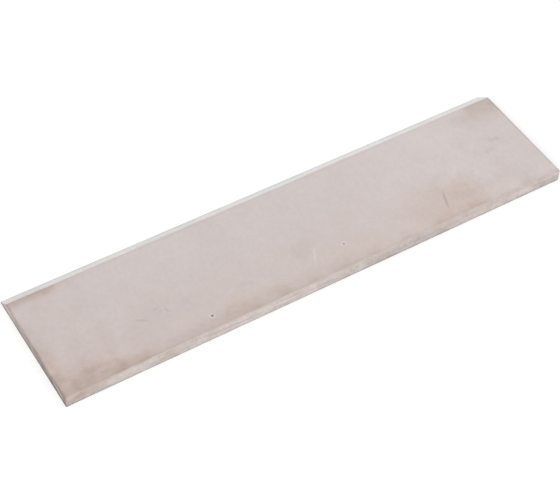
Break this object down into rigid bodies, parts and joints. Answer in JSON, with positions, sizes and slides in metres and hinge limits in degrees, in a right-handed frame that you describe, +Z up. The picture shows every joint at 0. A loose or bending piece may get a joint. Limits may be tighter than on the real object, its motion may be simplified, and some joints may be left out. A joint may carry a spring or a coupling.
{
  "type": "planer knife",
  "caption": "Flat rectangular planer knife: a ground bar of high-speed steel whose long side is bevelled to a straight cutting edge, for planing wood.",
  "frame": {"origin": "on the seat face, under the middle of the bar", "axes": "+X along the knife, +Y from the spine to the cutting edge, +Z up through the thickness, from the seat face to the clamped face"},
  "size_m": [0.12, 0.03, 0.003],
  "materials": {
    "ground_steel": "fine ground, faintly stained, with a brighter bevel"
  },
  "bodies": {
    "root": {"planer_knife": "ground_steel"}
  },
  "joints": []
}
